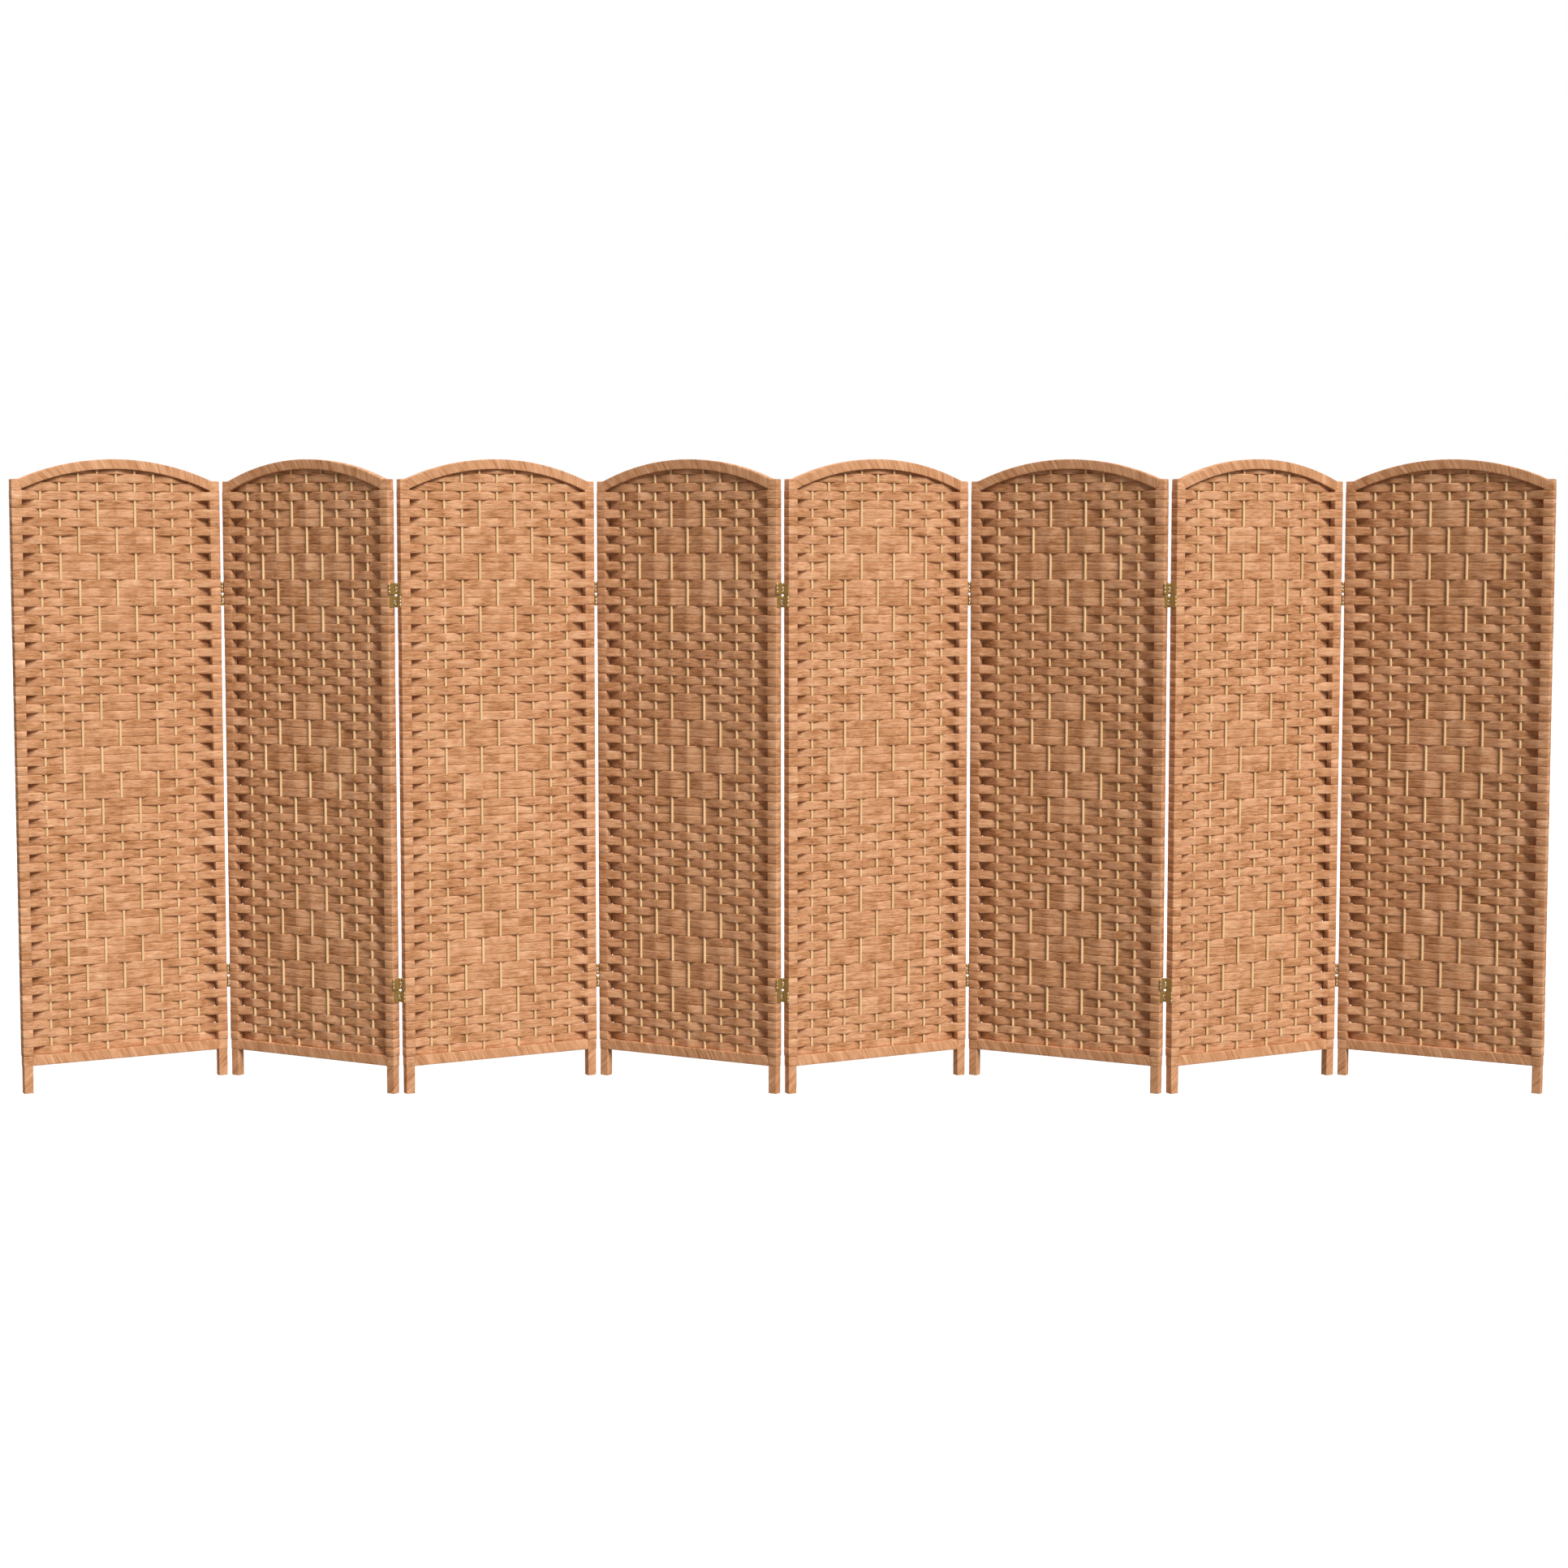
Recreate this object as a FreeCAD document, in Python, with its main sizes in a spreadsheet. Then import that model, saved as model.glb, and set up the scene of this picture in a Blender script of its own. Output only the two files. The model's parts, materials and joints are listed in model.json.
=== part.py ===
"""Folding screen of eight woven panels, standing in a zigzag on double-acting hinges.

Every panel is modelled once in its own frame: X across the panel from its middle, Y through its
thickness with the front at minus Y, Z up from the floor. The finished sub-parts are copies of
those pieces, each set in its panel's place in the zigzag. The screen's origin is on the floor,
in the middle of its width and depth.
"""
import FreeCAD
import Part
import os
from types import SimpleNamespace

PANELS = 8
STAKES = 9
KNUCKLES = 3

# Driving dimensions in millimetres, and one angle in degrees.
SIZES = {
    # the frame
    "panel_width": 571,          # over the weft loops on both posts
    "post_height": 1645,         # floor to the level top of a post
    "post_width": 21,            # wood only
    "frame_depth": 19,           # wood only, posts and rails alike
    "leg_clearance": 74,         # floor to the underside of the bound bottom rail
    "rail_height": 24.3,         # wood of the bottom rail
    "arch_height": 22.8,         # wood of the arched rail
    "arch_rise": 55.9,           # crown of the arch above the post tops
    "arch_flat": 20.7,           # level stretch of a post top outside the arch
    "tenon_length": 12,
    "tenon_height": 15,
    "tenon_thickness": 8,
    "tenon_shoulder": 2,         # wood left below a tenon
    "tenon_clearance": 0.15,
    # binding, weave and stakes
    "binding_thickness": 1.6,    # on the legs and rails
    "joint_thickness": 2.4,      # where a leg meets the bottom rail
    "cap_thickness": 3.2,        # on the sides and faces of a post top
    "cap_height": 29.3,          # bound top of a post above the weft loops
    "loop_side": 3.5,            # weft loops on the inner and outer side of a post
    "loop_face": 4,              # weft loops on the front and back of a post
    "weave_thickness": 11,
    "weave_clearance": 0.3,      # weave to the arched rail
    "stake_diameter": 7,
    "stake_seat": 10,            # depth of a stake in each rail
    "stake_clearance": 0.15,
    # hinges and folds
    "fold_angle": 30.15,         # each panel's turn from the line of the screen
    "panel_gap": 6.2,            # between two panels when they are in line
    "axis_standoff": 0.8,        # hinge axis outside the face of the weft loops
    "hinge_height": 64.5,
    "hinge_half_gap": 5,         # between the upper and lower half of a hinge
    "lower_hinge_height": 279.5, # floor to the middle of the lower hinge
    "upper_hinge_drop": 307,     # top of a post to the middle of the upper hinge
    "plate_thickness": 1.2,
    "knuckle_clearance": 0.4,    # knuckle to posts and plates
    "knuckle_gap": 0.3,          # between neighbouring knuckles on one pin
    "knuckle_taper": 2.6,        # length of a knuckle's tapered ends
    "knuckle_rim": 0.35,         # metal round the pin at the ends of a knuckle
    "pin_diameter": 3,
    "pin_clearance": 0.05,
    "screw_diameter": 3,
    "screw_head_diameter": 5.4,
    "screw_length": 16,
    "screw_spacing": 10,         # between the two screws in each half of a leaf
    "screw_clearance": 0.1,
}

doc = FreeCAD.newDocument("folding_screen")
sheet = doc.addObject("Spreadsheet::Sheet", "Sizes")
for row, (name, value) in enumerate(SIZES.items(), start=1):
    sheet.set(f"A{row}", name)
    sheet.set(f"B{row}", str(value))
    sheet.setAlias(f"B{row}", name)
doc.recompute()
size = SimpleNamespace(**{name: f"Sizes.{name}" for name in SIZES})

# Sizes that follow from the driving ones, as expressions on the sheet.
half_width = f"({size.panel_width} / 2)"
post_outer = f"({half_width} - {size.loop_side})"
post_inner = f"({post_outer} - {size.post_width})"
post_top = f"({size.post_height} - {size.binding_thickness})"
bound_outer = f"({post_outer} + {size.binding_thickness})"
bound_inner = f"({post_inner} - {size.binding_thickness})"
joint_outer = f"({post_outer} + {size.joint_thickness})"
joint_inner = f"({post_inner} - {size.joint_thickness})"
cap_outer = f"({post_outer} + {size.cap_thickness})"
cap_inner = f"({post_inner} - {size.cap_thickness})"
loop_inner = f"({post_inner} - {size.loop_side})"
core_y = f"({size.frame_depth} / 2)"
bound_y = f"({core_y} + {size.binding_thickness})"
joint_y = f"({core_y} + {size.joint_thickness})"
cap_y = f"({core_y} + {size.cap_thickness})"
loop_y = f"({core_y} + {size.loop_face})"
rail_low = f"({size.leg_clearance} + {size.binding_thickness})"
rail_high = f"({rail_low} + {size.rail_height})"
weave_low = f"({rail_high} + {size.binding_thickness})"
loops_high = f"({size.post_height} - {size.cap_height})"

# The arched rail: all its faces are arcs round one centre.
arch_end = f"({half_width} - {size.arch_flat})"
arch_outer = f"(({arch_end} ^ 2 + {size.arch_rise} ^ 2) / (2 * {size.arch_rise}))"
arch_centre = f"({size.post_height} + {size.arch_rise} - {arch_outer})"
arch_core_outer = f"({arch_outer} - {size.binding_thickness})"
arch_core_inner = f"({arch_core_outer} - {size.arch_height})"
arch_inner = f"({arch_core_inner} - {size.binding_thickness})"
arch_core_end = f"({arch_centre} + sqrt({arch_core_inner} ^ 2 - {post_inner} ^ 2))"
arch_crown = f"({arch_centre} + {arch_outer})"

# The hinges: a front and a rear axis at each edge of a panel, half the panel gap beyond the post.
axis_x = f"({half_width} + {size.panel_gap} / 2)"
axis_y = f"({loop_y} + {size.axis_standoff})"
knuckle_radius = f"({size.panel_gap} / 2 - {size.knuckle_clearance})"
knuckle_end = f"({size.pin_diameter} / 2 + {size.knuckle_rim})"
plate_y = f"({axis_y} - {knuckle_radius} - {size.knuckle_clearance})"
leaf_face = f"({half_width} + {size.plate_thickness})"
half_low = f"({size.hinge_half_gap} / 2)"
half_height = f"(({size.hinge_height} - {size.hinge_half_gap}) / 2)"
knuckle_pitch = f"({half_height} / {KNUCKLES})"
half_step = f"({half_height} + {size.hinge_half_gap})"
fold_turn = f"({size.fold_angle} * 1 deg)"
panel_pitch = f"(2 * {axis_x} * cos({fold_turn}) + 2 * {axis_y} * sin({fold_turn}))"


def minus(expression):
    """The same length on the other side of the middle."""
    return f"(-{expression})"


def place(piece, x="0", y="0", z="0"):
    """Tie a piece's position to expressions on the sheet."""
    for axis, expression in zip("xyz", (x, y, z)):
        piece.setExpression(f"Placement.Base.{axis}", expression)
    return piece


def block(name, x, y, z):
    """Rectangular block between the low and high expressions of each axis."""
    piece = doc.addObject("Part::Box", name)
    for side, (low, high) in zip(("Length", "Width", "Height"), (x, y, z)):
        piece.setExpression(side, f"{high} - {low}")
    return place(piece, x[0], y[0], z[0])


def across(half):
    """A span that reaches the same distance to both sides of the middle."""
    return minus(half), half


def rod(name, radius, x, y, z):
    """Upright cylinder between two heights."""
    piece = doc.addObject("Part::Cylinder", name)
    piece.setExpression("Radius", radius)
    piece.setExpression("Height", f"{z[1]} - {z[0]}")
    return place(piece, x, y, z[0])


def taper(name, low_radius, high_radius, x, y, z):
    """Upright cone stump between two heights."""
    piece = doc.addObject("Part::Cone", name)
    piece.setExpression("Radius1", low_radius)
    piece.setExpression("Radius2", high_radius)
    piece.setExpression("Height", f"{z[1]} - {z[0]}")
    return place(piece, x, y, z[0])


def drum(name, radius, half_depth):
    """Cylinder through the panel's thickness, round the centre of the arch."""
    piece = doc.addObject("Part::Cylinder", name)
    piece.Placement.Rotation = FreeCAD.Rotation(FreeCAD.Vector(1, 0, 0), -90)
    piece.setExpression("Radius", radius)
    piece.setExpression("Height", f"2 * {half_depth}")
    return place(piece, "0", minus(half_depth), arch_centre)


def fuse(name, pieces):
    """One solid out of several that meet."""
    piece = doc.addObject("Part::MultiFuse", name)
    piece.Shapes = pieces
    return piece


def common(name, base, tool):
    """What two solids share."""
    piece = doc.addObject("Part::Common", name)
    piece.Base = base
    piece.Tool = tool
    return piece


def group(name, pieces):
    """Separate solids kept together."""
    piece = doc.addObject("Part::Compound", name)
    piece.Links = pieces
    return piece


def cut(name, base, tools):
    """A solid with others taken out of it."""
    piece = doc.addObject("Part::Cut", name)
    piece.Base = base
    piece.Tool = group(f"{name}_tools", tools)
    return piece


def turned(piece):
    """The same piece on the panel's other edge: half a turn about the panel's upright middle line."""
    copy = group(f"{piece.Name}_turned", [piece])
    copy.Placement.Rotation = FreeCAD.Rotation(FreeCAD.Vector(0, 0, 1), 180)
    return copy


def both_edges(piece):
    """A piece of the right edge with its turned copy on the left edge."""
    return [piece, turned(piece)]


def at_hinges(name, pieces):
    """Copies of one hinge's pieces at the lower and the upper hinge of the right edge."""
    lower = place(group(f"{name}_lower", pieces), z=size.lower_hinge_height)
    upper = place(group(f"{name}_upper", pieces), z=f"{size.post_height} - {size.upper_hinge_drop}")
    return group(name, [lower, upper])


def arch_bar(name, outer, inner, half_depth, end):
    """Curved bar between two arcs round the arch's centre, cut upright at both ends."""
    ring = cut(f"{name}_ring", drum(f"{name}_outer", outer, half_depth), [drum(f"{name}_inner", inner, half_depth)])
    span = block(f"{name}_span", across(end), across(half_depth), (arch_centre, arch_crown))
    return common(name, ring, span)


def tenon(name, low, clearance="0"):
    """Tenon on a rail's right end, or its mortise when it is given a clearance."""
    x = (post_inner, f"({post_inner} + {size.tenon_length} + {clearance})")
    y = across(f"({size.tenon_thickness} / 2 + {clearance})")
    z = (f"({low} - {clearance})", f"({low} + {size.tenon_height} + {clearance})")
    return block(name, x, y, z)


def screw(name, y, z, clearance="0"):
    """Countersunk screw through a leaf into the post, or its hole when it is given a clearance."""
    shank = doc.addObject("Part::Cylinder", f"{name}_shank")
    shank.setExpression("Radius", f"{size.screw_diameter} / 2 + {clearance}")
    shank.setExpression("Height", f"{size.screw_length} + {clearance}")
    head = doc.addObject("Part::Cone", f"{name}_head")
    head.setExpression("Radius1", f"{size.screw_diameter} / 2 + {clearance}")
    head.setExpression("Radius2", f"{size.screw_head_diameter} / 2 + {clearance}")
    head.setExpression("Height", size.plate_thickness)
    for part, start in ((shank, f"{leaf_face} - {size.screw_length} - {clearance}"), (head, half_width)):
        part.Placement.Rotation = FreeCAD.Rotation(FreeCAD.Vector(0, 1, 0), 90)
        place(part, start, y, z)
    return fuse(name, [shank, head])


def leaf_screws(name, clearance="0"):
    """The four screws of one leaf, two in each half of the hinge."""
    screws = []
    for half, z in (("high", f"({half_low} + {half_height} / 2)"), ("low", f"(-{half_low} - {half_height} / 2)")):
        for face, y in (("front", minus(f"({size.screw_spacing} / 2)")), ("rear", f"{size.screw_spacing} / 2")):
            screws.append(screw(f"{name}_{half}_{face}", y, z, clearance))
    return screws


def knuckle_span(low, number):
    """Heights of one knuckle, counted up from the foot of its half of the hinge."""
    start = f"({low} + {number} * {knuckle_pitch} + {size.knuckle_gap} / 2)"
    return start, f"({start} + {knuckle_pitch} - {size.knuckle_gap})"


def knuckle(name, side, low, number, plate_x):
    """One knuckle on the front (side -1) or rear (side 1) axis, with the tab that joins it to its plate."""
    z = knuckle_span(low, number)
    y = (plate_y, axis_y) if side > 0 else (minus(axis_y), minus(plate_y))
    axis = (axis_x, f"({side} * {axis_y})")
    foot = f"({z[0]} + {size.knuckle_taper})"
    head = f"({z[1]} - {size.knuckle_taper})"
    return [
        taper(f"{name}_foot", knuckle_end, knuckle_radius, *axis, (z[0], foot)),
        rod(f"{name}_barrel", knuckle_radius, *axis, (foot, head)),
        taper(f"{name}_head", knuckle_radius, knuckle_end, *axis, (head, z[1])),
        block(f"{name}_tab", plate_x, y, z),
    ]


def pin(name, side, low, clearance="0"):
    """Pin of one half of one axis, or its bore when it is given a clearance."""
    z = (low, f"({low} + {half_height})")
    return rod(name, f"({size.pin_diameter} / 2 + {clearance})", axis_x, f"({side} * {axis_y})", z)


# The two halves of a hinge and their lower ends.
upper_half = half_low
lower_half = minus(f"({half_low} + {half_height})")

# Stakes, and the bores that hold them.
stakes = []
stake_bores = []
for number in range(1, STAKES + 1):
    stake_x = f"({loop_inner} * {2 * number / (STAKES + 1) - 1:.4f})"
    stake_low = f"({rail_high} - {size.stake_seat})"
    stake_high = f"({arch_centre} + sqrt(({arch_core_inner} + {size.stake_seat}) ^ 2 - {stake_x} ^ 2))"
    bore_span = (f"({stake_low} - {size.stake_clearance})", f"({stake_high} + {size.stake_clearance})")
    stake_radius = f"({size.stake_diameter} / 2)"
    bore_radius = f"({stake_radius} + {size.stake_clearance})"
    stakes.append(rod(f"stake_{number}", stake_radius, stake_x, "0", (stake_low, stake_high)))
    stake_bores.append(rod(f"stake_bore_{number}", bore_radius, stake_x, "0", bore_span))

# Rails, with a tenon at each end.
rail_tenon_low = f"({rail_low} + {size.tenon_shoulder})"
arch_tenon_low = f"({arch_core_end} + {size.tenon_shoulder})"
rail_bar = block("rail_bar", across(post_inner), across(core_y), (rail_low, rail_high))
rail_wood = fuse("rail_wood", [rail_bar, *both_edges(tenon("rail_tenon", rail_tenon_low))])
bottom_rail = cut("bottom_rail", rail_wood, stake_bores)
arch_core = arch_bar("arch_core", arch_core_outer, arch_core_inner, core_y, post_inner)
arch_wood = fuse("arch_wood", [arch_core, *both_edges(tenon("arch_tenon", arch_tenon_low))])
arched_rail = cut("arched_rail", arch_wood, stake_bores)

# Posts. An outer post at the end of the screen carries no hinge.
post_span = (post_inner, post_outer)
post_wood = block("post_wood", post_span, across(core_y), ("0", post_top))
mortises = [
    tenon("rail_mortise", rail_tenon_low, size.tenon_clearance),
    tenon("arch_mortise", arch_tenon_low, size.tenon_clearance),
]
screw_holes = leaf_screws("screw_hole", size.screw_clearance)
post_screw_holes = at_hinges("post_screw_holes", screw_holes)
plain_post = cut("plain_post", post_wood, mortises)
hinged_post = cut("hinged_post", post_wood, [*mortises, post_screw_holes])

# Binding wound round the legs, post tops and rails.
leg_block = block("leg_block", (bound_inner, bound_outer), across(bound_y), ("0", size.leg_clearance))
joint_block = block("joint_block", (joint_inner, joint_outer), across(joint_y), (size.leg_clearance, weave_low))
leg_blocks = fuse("leg_blocks", [leg_block, joint_block])
leg_binding = cut("leg_binding", leg_blocks, [post_wood, rail_bar])
cap_block = block("cap_block", (cap_inner, cap_outer), across(cap_y), (loops_high, size.post_height))
cap_binding = cut("cap_binding", cap_block, [post_wood, arch_core])
rail_block = block("rail_block", across(joint_inner), across(bound_y), (size.leg_clearance, weave_low))
rail_binding = cut("rail_binding", rail_block, [rail_bar, *stake_bores])
arch_block = arch_bar("arch_block", arch_outer, arch_inner, bound_y, arch_end)
arch_binding = cut("arch_binding", arch_block, [arch_core, *both_edges(cap_block), *stake_bores])

# Weave: a sheet between the posts, with its loops round them.
sheet_block = block("sheet_block", across(loop_inner), across(f"({size.weave_thickness} / 2)"), (weave_low, arch_crown))
above_arch_block = block("above_arch_block", across(half_width), across(loop_y), (arch_centre, arch_crown))
under_arch = drum("under_arch", f"({arch_inner} - {size.weave_clearance})", loop_y)
above_arch = cut("above_arch", above_arch_block, [under_arch])
weave_sheet = cut("weave_sheet", sheet_block, [above_arch, *stake_bores])
loop_block = block("loop_block", (loop_inner, half_width), across(loop_y), (weave_low, loops_high))
plain_loops = cut("plain_loops", loop_block, [post_wood])
hinged_loops = cut("hinged_loops", loop_block, [post_wood, post_screw_holes])

# A leaf of the right edge: its knuckles are the outer two of the front upper and rear lower halves.
leaf_x = (half_width, leaf_face)
leaf_plate = block("leaf_plate", leaf_x, across(plate_y), across(f"({size.hinge_height} / 2)"))
leaf_pieces = [leaf_plate]
for number in (0, KNUCKLES - 1):
    leaf_pieces += knuckle(f"leaf_front_{number}", -1, upper_half, number, leaf_x)
    leaf_pieces += knuckle(f"leaf_rear_{number}", 1, lower_half, number, leaf_x)
leaf_bores = [
    pin("leaf_front_bore", -1, upper_half, size.pin_clearance),
    pin("leaf_rear_bore", 1, lower_half, size.pin_clearance),
]
leaf = cut("leaf", fuse("leaf_metal", leaf_pieces), [*leaf_bores, *screw_holes])
leaf_fasteners = [
    pin("front_pin", -1, upper_half),
    pin("rear_pin", 1, lower_half),
    *leaf_screws("screw"),
]

# A link: a plate in the middle of the gap, with the middle knuckle of its half at both axes.
link_x = (f"({axis_x} - {size.plate_thickness} / 2)", f"({axis_x} + {size.plate_thickness} / 2)")
link_span = (upper_half, f"({upper_half} + {half_height})")
link_pieces = [
    block("link_plate", link_x, across(plate_y), link_span),
    *knuckle("link_front", -1, upper_half, KNUCKLES // 2, link_x),
    *knuckle("link_rear", 1, upper_half, KNUCKLES // 2, link_x),
]
link_bores = [
    pin("link_front_bore", -1, upper_half, size.pin_clearance),
    pin("link_rear_bore", 1, upper_half, size.pin_clearance),
]
upper_link = cut("upper_link", fuse("link_metal", link_pieces), link_bores)
lower_link = place(group("lower_link", [upper_link]), z=minus(half_step))

# An odd panel carries the lower links of its hinges, an even one the upper links.
edge_plates = {
    1: at_hinges("odd_hinges", [leaf, lower_link]),
    0: at_hinges("even_hinges", [leaf, upper_link]),
}
edge_fasteners = at_hinges("hinge_fasteners", leaf_fasteners)


def edge_pieces(panel, hinged, plain=None):
    """The right-edge and left-edge copies for one panel, plain or absent at the ends of the screen."""
    right = plain if panel == PANELS else hinged
    left = plain if panel == 1 else hinged
    pieces = [right] if right else []
    return pieces + ([turned(left)] if left else [])


def sub_part(panel, name, pieces):
    """One finished sub-part, set in its panel's place in the zigzag."""
    part = group(f"panel_{panel}_{name}", pieces)
    part.Label = f"panel_{panel}_{name}"
    place(part, x=f"{panel - (PANELS + 1) / 2} * {panel_pitch}")
    part.setExpression("Placement.Rotation.Angle", fold_turn if panel % 2 else minus(fold_turn))
    return part


sub_parts = []
for panel in range(1, PANELS + 1):
    contents = {
        "posts": edge_pieces(panel, hinged_post, plain_post),
        "rails": [bottom_rail, arched_rail],
        "binding": [*both_edges(leg_binding), *both_edges(cap_binding), rail_binding, arch_binding],
        "stakes": stakes,
        "weave": [weave_sheet, *edge_pieces(panel, hinged_loops, plain_loops)],
        "hinges": edge_pieces(panel, edge_plates[panel % 2]),
        "pins_and_screws": edge_pieces(panel, edge_fasteners),
    }
    sub_parts += [sub_part(panel, name, pieces) for name, pieces in contents.items()]

doc.recompute()
for piece in doc.Objects:
    if "Invalid" in piece.State or "Error" in piece.State:
        raise RuntimeError(f"{piece.Name} did not build")
for part in sub_parts:
    if part.Shape.isNull() or not part.Shape.isValid():
        raise RuntimeError(f"{part.Label} has no valid shape")
    if any(solid.Volume <= 0 for solid in part.Shape.Solids):
        raise RuntimeError(f"{part.Label} has an empty solid")

os.makedirs("parts", exist_ok=True)
for part in sub_parts:
    part.Shape.exportStep(f"parts/{part.Label}.step")
    print(part.Label, len(part.Shape.Solids), "solids", round(part.Shape.Volume), "mm3")
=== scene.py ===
"""Looks of the folding screen: woven weft, wound frames, bamboo stakes and brass hinges.

Lengths are in metres. Every new piece is worked out in a panel's own frame, X across the panel from its
middle, Y through its thickness with the front at minus Y, Z up from the floor, and is then carried to the
panel's place in the zigzag.
"""
import json
from math import asin, cos, pi, radians, sin, sqrt

import bpy
import numpy as np
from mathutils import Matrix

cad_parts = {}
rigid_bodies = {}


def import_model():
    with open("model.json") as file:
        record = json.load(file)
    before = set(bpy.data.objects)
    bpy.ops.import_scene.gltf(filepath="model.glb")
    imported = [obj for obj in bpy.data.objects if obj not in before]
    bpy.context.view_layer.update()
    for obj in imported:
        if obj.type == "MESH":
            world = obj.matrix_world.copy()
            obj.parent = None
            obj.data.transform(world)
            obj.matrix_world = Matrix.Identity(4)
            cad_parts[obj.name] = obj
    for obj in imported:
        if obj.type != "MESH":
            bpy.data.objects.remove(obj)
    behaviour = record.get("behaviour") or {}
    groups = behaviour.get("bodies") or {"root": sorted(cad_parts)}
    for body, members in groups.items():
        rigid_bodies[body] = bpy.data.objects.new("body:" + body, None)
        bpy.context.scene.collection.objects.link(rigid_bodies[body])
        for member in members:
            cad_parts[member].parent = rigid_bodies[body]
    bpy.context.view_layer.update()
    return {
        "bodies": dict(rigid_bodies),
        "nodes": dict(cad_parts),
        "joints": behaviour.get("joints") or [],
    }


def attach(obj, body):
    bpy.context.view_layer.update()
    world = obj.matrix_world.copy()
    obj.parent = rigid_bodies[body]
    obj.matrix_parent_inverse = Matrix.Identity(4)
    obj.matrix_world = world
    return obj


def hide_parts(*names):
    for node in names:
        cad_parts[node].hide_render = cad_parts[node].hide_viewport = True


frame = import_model()

MM = 0.001

# The zigzag, from the joints: neighbouring folds are one panel apart, and each opens to a straight line.
folds = {joint["name"]: joint for joint in frame["joints"]}
PANELS = len(frame["bodies"])
PANEL_PITCH = folds["fold_2_3"]["pos_m"][0] - folds["fold_1_2"]["pos_m"][0]
FOLD_TURN = radians(folds["fold_1_2"]["range_deg"][1] / 2)


def panel_place(panel):
    """Shift along X and turn about Z that carry a panel's own frame to its place."""
    return (panel - (PANELS + 1) / 2) * PANEL_PITCH, FOLD_TURN if panel % 2 else -FOLD_TURN


def carried(points, panel):
    """Points of a panel's own frame in the screen: turned about Z, then shifted along X."""
    shift, turn = panel_place(panel)
    x, y, z = np.moveaxis(points, -1, 0)
    return np.stack([x * cos(turn) - y * sin(turn) + shift, x * sin(turn) + y * cos(turn), z], -1)


def own_box(part):
    """Lowest and highest corner of a part of panel 1 in the panel's own frame.

    The part's points are shifted back along X, then turned back about Z.
    """
    vertices = frame["nodes"][f"panel_1_{part}"].data.vertices
    points = np.empty(len(vertices) * 3)
    vertices.foreach_get("co", points)
    x, y, z = points.reshape(-1, 3).T
    shift, turn = panel_place(1)
    x = x - shift
    own = np.stack([x * cos(turn) + y * sin(turn), y * cos(turn) - x * sin(turn), z], -1)
    return own.min(0), own.max(0)


# Sizes of a panel, from the frame.
weave_box = own_box("weave")
post_box = own_box("posts")
binding_box = own_box("binding")
stake_box = own_box("stakes")
HALF_WIDTH, LOOP_Y = weave_box[1][:2]
WEAVE_LOW = weave_box[0][2]
POST_OUTER, CORE_Y = post_box[1][:2]
CROWN = binding_box[1][2]
STAKE_RADIUS = stake_box[1][1]
STAKES = 9
STAKE_PITCH = (stake_box[1][0] - STAKE_RADIUS) / ((STAKES - 1) / 2)

# Sizes of the frame that its boxes don't give.
POST_WIDTH = 21 * MM
POST_HEIGHT = 1645 * MM
POST_X = POST_OUTER - POST_WIDTH / 2
POST_INNER = POST_X - POST_WIDTH / 2
LEG_HEIGHT = 74 * MM
CAP_HEIGHT = 29.3 * MM
LOOPS_HIGH = POST_HEIGHT - CAP_HEIGHT
LEG_WRAP = 1.6 * MM
JOINT_WRAP = 2.4 * MM
CAP_WRAP = 3 * MM
ARCH_FLAT = 20.7 * MM
ARCH_DEPTH = 26 * MM
ARCH_HALF_Y = 12.6 * MM
RAIL_HALF_Y = 11.5 * MM

# The arch: its faces are arcs round one centre, the outer one through the crown and the post tops.
arch_chord = HALF_WIDTH - ARCH_FLAT
arch_rise = CROWN - POST_HEIGHT
ARCH_OUTER = (arch_chord**2 + arch_rise**2) / (2 * arch_rise)
ARCH_INNER = ARCH_OUTER - ARCH_DEPTH
ARCH_CENTRE = CROWN - ARCH_OUTER

# The weave: its pattern.
ROWS = 67
TOP_ROWS = 3                       # rows above the post loops, under the arch
ROW_PITCH = (LOOPS_HIGH - WEAVE_LOW) / (ROWS - TOP_ROWS)
DIAMOND_TOPS = (5, 27, 49)         # first row of each diamond, counted from the top
DIAMOND_STAKES = ([4, 6], [3, 5, 7], [2, 4, 6, 8], [3, 5, 7], [4, 6])
GROUP_ROWS = 3

# The weave: its strips.
STRIP_HALF = 0.8 * MM              # half the thickness of a strip
STAKE_AIR = 0.25 * MM              # between a strip and a stake
STRIP_REACH = STAKE_RADIUS + STRIP_HALF + STAKE_AIR
STEPS = 7                          # columns from one stake to the next
ROW_LAP = 0.1 * MM                 # neighbouring rows meet with this much overlap
ROW_SAG = 1.3 * MM                 # rows lie this much lower between the posts than on them

# The loops round the posts.
LOOP_INSET = STRIP_HALF + 0.15 * MM  # from the outside of the CAD weave to a loop's middle
LOOP_CORNER = 0.7 * MM
LOOP_END_GAP = 6.5 * MM            # from a loop's end to the side of the post that it starts on

# Where two neighbouring rows are apart in depth, their edges reach past each other by a share of that depth.
SPREAD_FRONT = 0.03                # for the strip in front
SPREAD_BEHIND = 0.2                # for the strip behind
SPREAD_POSTS = 0.12                # more for the strip behind, next to the posts
SPREAD_LIMIT = 3.8 * MM

# How uneven the rows are in depth and at their edges: the height of the waves, and their lengths.
DEPTH_RIPPLE = 0.35 * MM
DEPTH_WAVES = np.array([90, 210]) * MM
EDGE_RIPPLE = 0.9 * MM
EDGE_WAVES = np.array([70, 160, 430]) * MM
EVEN_ENDS = 45 * MM                # from the panel's sides up to here the rows are even
EVEN_FADE = 30 * MM                # and over this length they grow uneven

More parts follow.
